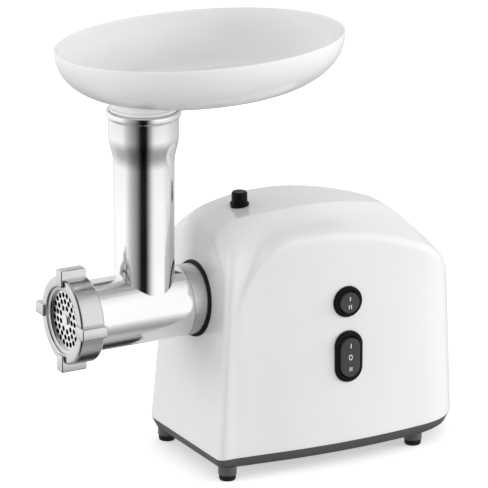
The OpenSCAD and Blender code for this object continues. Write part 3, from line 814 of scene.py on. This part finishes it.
def build_head():
    """Barrel and feed chute in one casting, with the lock pin's notch in the spigot behind."""
    z = feed_axis()
    barrel = lathe("barrel", "X", (SHIFT * MM, 0, z), rounded([
        (-214, 27.05), (-214, BARREL_R, 0.8), (-109.1, BARREL_R, 0.5), (-109.1, 27, 0), (-82.8, 27, 0.8),
        (-82.8, 22), (-104, 22), (-104, 10.05), (-112, 10.05), (-112, BORE_R), (-208, BORE_R), (-208, 27.05)],
        0.3), 160)
    chute = lathe("chute", "Z", (chute_axis_x(), 0, 0), rounded([
        (150, 1), (150, 25.6), (282.5, 26.2, 6), (297.5, 30.2, 5), (317.9, 30.3, 0.8), (319.1, 32.0, 0.6),
        (323.7, 32.2, 0.9), (324.5, 30.6, 0.6), (323.7, 27.9, 0.4), (299.5, 27.5), (299.5, CHUTE_BORE_R, 0.4),
        (260, CHUTE_BORE_R), (260, 1)], 0.3), 160)
    boolean(barrel, chute, "UNION")
    fillet_junction(barrel)
    boolean(barrel, cutter("Z", (chute_axis_x(), 0, 0), CHUTE_BORE_R, z / MM, 262, 128), "DIFFERENCE")
    barrel.name = "head_casting"
    low = ((SHIFT - 86.4) * MM, -0.0022, z + 0.024)
    boolean(barrel, block("notch", low, (low[0] + 0.008, 0.0022, z + 0.032), 0), "DIFFERENCE")
    smooth(barrel, 30)
    stand_for(barrel, "head", mats["polished_aluminium"], "grinder_head", "feed_chute")


def fillet_junction(piece):
    """Rounds the edge where the chute grows out of the barrel."""
    z = feed_axis()
    bm = bmesh.new()
    bm.from_mesh(piece.data)
    chosen = []
    for e in bm.edges:
        if len(e.link_faces) != 2:
            continue
        mid = (e.verts[0].co + e.verts[1].co) / 2
        on_barrel = abs(math.hypot(mid.y, mid.z - z) - BARREL_R * MM) < 0.4 * MM
        on_chute = abs(math.hypot(mid.x - chute_axis_x(), mid.y) - 25.7 * MM) < 0.8 * MM
        if on_barrel and on_chute and e.calc_face_angle(0) > 0.3:
            chosen.append(e)
    if chosen:
        bmesh.ops.bevel(
            bm, geom=chosen, offset=2.2 * MM, segments=5, profile=0.5, affect="EDGES", clamp_overlap=True)
    bm.to_mesh(piece.data)
    bm.free()


def build_ring_nut():
    """A deep ring with four lugs; each lug is a bar with a tab that hooks over the nut's front."""
    origin = (SHIFT * MM, 0, feed_axis())
    ring = lathe("ring", "X", origin, rounded([
        (-221.5, 29.4, 0.6), (-221.5, 37.0, 1.4), (-219.5, 38, 1.2), (-200.3, 38, 1.0), (-199, 37),
        (-199, 30.9, 0.6), (-217.05, 30.9, 0.2), (-217.05, 26, 0.2), (-219.4, 26, 0.5), (-219.7, 29.0, 0.4)],
        0.6), 160)
    for k in range(4):
        turn = Matrix.Rotation(math.pi / 2 * k, 4, "X")
        bar = block("bar", (-0.223, -0.0052, 0.034), (-0.200, 0.0052, 0.0455), 0.0016, 4)
        tab = block("tab", (-0.224, -0.0052, 0.0305), (-0.2202, 0.0052, 0.0455), 0.0013, 4)
        for extra in (bar, tab):
            extra.data.transform(Matrix.Translation(origin) @ turn)
            boolean(ring, extra, "UNION")
    ring.name = "ring_nut_casting"
    smooth(ring, 32)
    stand_for(ring, "nut", mats["turned_aluminium"], "ring_nut")


def build_plate():
    z = feed_axis()
    origin = (SHIFT * MM, 0, z)
    plate = lathe("perforated_plate", "X", origin, rounded([
        (-217, 4.5, 0.3), (-217, 26.9, 0.5), (-212, 26.9, 0.4), (-212, 4.5, 0.3)], 0.3), 128)
    drills = []
    for radius, count in ((10.4, 9), (16, 15), (21.6, 21)):
        for k in range(count):
            a = 2 * math.pi * (k + 0.5) / count
            spot = (origin[0], radius * MM * math.cos(a), z + radius * MM * math.sin(a))
            drill = [(-220, 0), (-220, 2.6), (-217.1, 2.55), (-216.6, 2.2), (-210, 2.2), (-210, 0)]
            drills.append(lathe("drill", "X", spot, drill, 24))
    boolean(plate, join(drills, "drills"), "DIFFERENCE")
    smooth(plate, 30)
    stand_for(plate, "head", mats["plate_steel"], "cutting_plate")
    # the walls of the drilled holes are rough, and near-black as painted shade, so that the holes read as
    # shadowed
    plate.data.materials.append(mats["hole_shade_steel"])
    for face in plate.data.polygons:
        out = math.hypot(face.center.y, face.center.z - z) / MM
        if abs(face.normal.x) < 0.9 and 6 < out < 25.5:
            face.material_index = 1


def build_seal():
    z = feed_axis()
    front, rear = -97.0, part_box("collar_seal")[1][0] / MM - SHIFT
    piece = lathe("rubber_seal", "X", (SHIFT * MM, 0, z), rounded([
        (front, 30.7), (front, 32.4, 0.9), (front + 1.2, 33.1, 0.6), (rear, 33.1, 0),
        (rear, 30.7, 0)], 0.4), 128)
    # the lip leans back with the housing's front face
    for v in piece.data.vertices:
        if v.co.x < (SHIFT + rear - 2.5) * MM:
            v.co.x += (v.co.z - z) * lean(FRONT_DRAFT)
    smooth(piece, 35)
    stand_for(piece, "base", mats["black_rubber"], "collar_seal")


def build_button():
    c = centre("release_button")
    low, high = (v[2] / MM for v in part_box("release_button"))
    cap = lathe("button_cap", "Z", (c.x, c.y, 0), rounded([
        (low, 0), (low, 0.4, 0), (low + 1.2, 2.5, 0), (225, 2.5), (225, 6.9, 0.4), (high - 1.6, 6.9, 1.2),
        (high, 6.0, 1.2), (high - 0.5, 0)], 0.3), 96)
    smooth(cap, 40)
    stand_for(cap, "button", mats["black_plastic"], "release_button")
    collar = lathe("button_ring", "Z", (c.x, c.y, 0), rounded([
        (212, 2.6), (212, 7.6), (226.1, 7.6), (226.1, 8.4, 0.2), (227.4, 8.4, 0.6), (228, 7.1, 0.3), (216, 7.1),
        (216, 2.6)], 0.3), 96)
    smooth(collar, 35)
    stand_for(collar, "base", mats["black_plastic"], "button_collar")


# ---- switches ---------------------------------------------------------------------

def dish(piece, spot, radius):
    """Scoops a rocker's face with a wide cylinder along X."""
    tool = lathe("scoop", "X", spot, [(-30, 0), (-30, radius), (30, radius), (30, 0)], 256)
    boolean(piece, tool, "DIFFERENCE")


def build_speed_switch():
    c = centre("speed_bezel")
    low, high = (v[1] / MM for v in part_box("speed_bezel"))
    ring = lathe("round_bezel", "Y", (c.x, 0, c.z), rounded([
        (low, 9.8, 0.5), (low, 13.0, 0.9), (low + 1.3, 13.8, 0.8), (low + 4.6, 13.8), (low + 4.6, 12.6),
        (high, 12.6), (high, 9.8)], 0.3), 128)
    smooth(ring, 35)
    stand_for(ring, "base", mats["black_plastic"], "speed_bezel")
    r = centre("speed_rocker")
    low, high = (v[1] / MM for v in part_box("speed_rocker"))
    disc = lathe("round_rocker", "Y", (r.x, 0, r.z), rounded([
        (low, 0), (low, 9.1, 0.7), (high, 9.1, 0.4), (high, 0)], 0.3), 128)
    dish_r, sink = 60, 0.6
    dish(disc, (r.x, (low - dish_r + sink) * MM, r.z), dish_r)
    smooth(disc, 30)
    stand_for(disc, "speed_switch", mats["rocker_plastic"], "speed_rocker")
    face = low * MM
    for lift, count in ((0.0036, 1), (-0.0036, 2)):
        for k in range(count):
            x = r.x + (k - (count - 1) / 2) * 0.0021
            mark(f"speed_mark_{count}_{k}", "speed_switch", (x, face, r.z + lift), 0.0009, 0.0036)


def mark(name, body, spot, wide, tall):
    """A white inlaid bar on a rocker's face."""
    x, y, z = spot
    proud, deep = 0.02 * MM, 1.2 * MM
    low = (x - wide / 2, y - proud, z - tall / 2)
    high = (x + wide / 2, y + deep, z + tall / 2)
    bar = block(name, low, high, 0.0002, 2)
    smooth(bar, 40)
    wear(bar, mats["white_paint"])
    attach(bar, body)


def ring_mark(name, body, spot, outer, inner):
    """A white inlaid ring, taller than it is wide."""
    x, y, z = spot
    profile = rounded([(-0.02, inner), (-0.02, outer), (1.2, outer), (1.2, inner)], 0.05)
    piece = lathe(name, "Y", (x, y, z), profile, 48)
    stretch = 1.35
    for v in piece.data.vertices:
        v.co.z = z + (v.co.z - z) * stretch
    smooth(piece, 40)
    wear(piece, mats["white_paint"])
    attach(piece, body)


def build_main_switch():
    c = centre("main_bezel")
    s = size("main_bezel")
    low, high = (v[1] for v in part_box("main_bezel"))
    frame_piece = pill("oval_bezel", (c.x, c.z), s.x / 2, s.z / 2, low, low + 0.0046)
    back = pill("tube", (c.x, c.z), 0.012, 0.0216, low + 0.003, high)
    boolean(frame_piece, back, "UNION")
    boolean(frame_piece, pill("opening", (c.x, c.z), 0.0098, 0.0183, low - 0.01, high + 0.01), "DIFFERENCE")
    bevel(frame_piece, 0.0008, 4, 50)
    smooth(frame_piece, 35)
    stand_for(frame_piece, "base", mats["black_plastic"], "main_bezel")
    r = centre("main_rocker")
    low, high = (v[1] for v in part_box("main_rocker"))
    face = pill("oval_rocker", (r.x, r.z), 0.0093, 0.0174, low, high)
    dish_r, sink = 150, 0.9
    dish(face, (r.x, low - (dish_r - sink) * MM, r.z), dish_r)
    bevel(face, 0.0006, 4, 40)
    smooth(face, 30)
    stand_for(face, "main_switch", mats["rocker_plastic"], "main_rocker")
    mark("main_mark_on", "main_switch", (r.x, low, r.z + 0.0105), 0.0009, 0.0042)
    ring_mark("main_mark_off", "main_switch", (r.x, low + 0.0006, r.z), 1.9, 1.25)
    for k in (-1, 1):
        spot = (r.x + k * 0.0009, low, r.z - 0.0105)
        mark(f"main_mark_back_{k + 1}", "main_switch", spot, 0.0008, 0.0036)


def build_gland():
    low, high = (v[0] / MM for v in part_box("cord_gland"))
    c = centre("cord_gland")
    piece = lathe("outlet_gland", "X", (0, 0, c.z), rounded([
        (low, 3.4), (low, 9), (low + 4, 9), (low + 4, 7), (low + 10.6, 7), (low + 10.6, 9.5, 0.4),
        (low + 14, 9.2, 0.9), (low + 14.2, 6.6, 1.0), (low + 17, 6.2, 0.4), (low + 17.6, 5.4, 0.4),
        (low + 19, 6.0, 0.4), (low + 20.5, 5.8, 0.4), (low + 21.1, 5.1, 0.4), (low + 22.5, 5.5, 0.4),
        (high, 5.1, 0.6), (high, 3.4, 0.4)], 0.3), 96)
    smooth(piece, 35)
    stand_for(piece, "base", mats["black_plastic"], "cord_gland")


# ---- the CAD pieces that keep their own shape -------------------------------------

def finish_cad_nodes():
    """Materials by slot, but the collar is satin, the screw is as bright as the plate, and the knife is dark as
    painted shade behind the plate.
    """
    # the knife's dark steel is painted shade for the shadow behind the perforated plate
    own = {"gearbox_case": "collar_metal", "knife": "dark_steel", "auger": "plate_steel"}
    for node in frame["nodes"]:
        wear(frame["nodes"][node], mats[own.get(node, slots[node])])


mats = make_materials()
slots = {s["node"]: s["material_slot"] for s in frame["record"]["subparts"]}
finish_cad_nodes()
add_camera()
studio()
floor()
build_housing()
build_base()
build_feet()
build_tray()
build_head()
build_ring_nut()
build_plate()
build_seal()
build_button()
build_speed_switch()
build_main_switch()
build_gland()
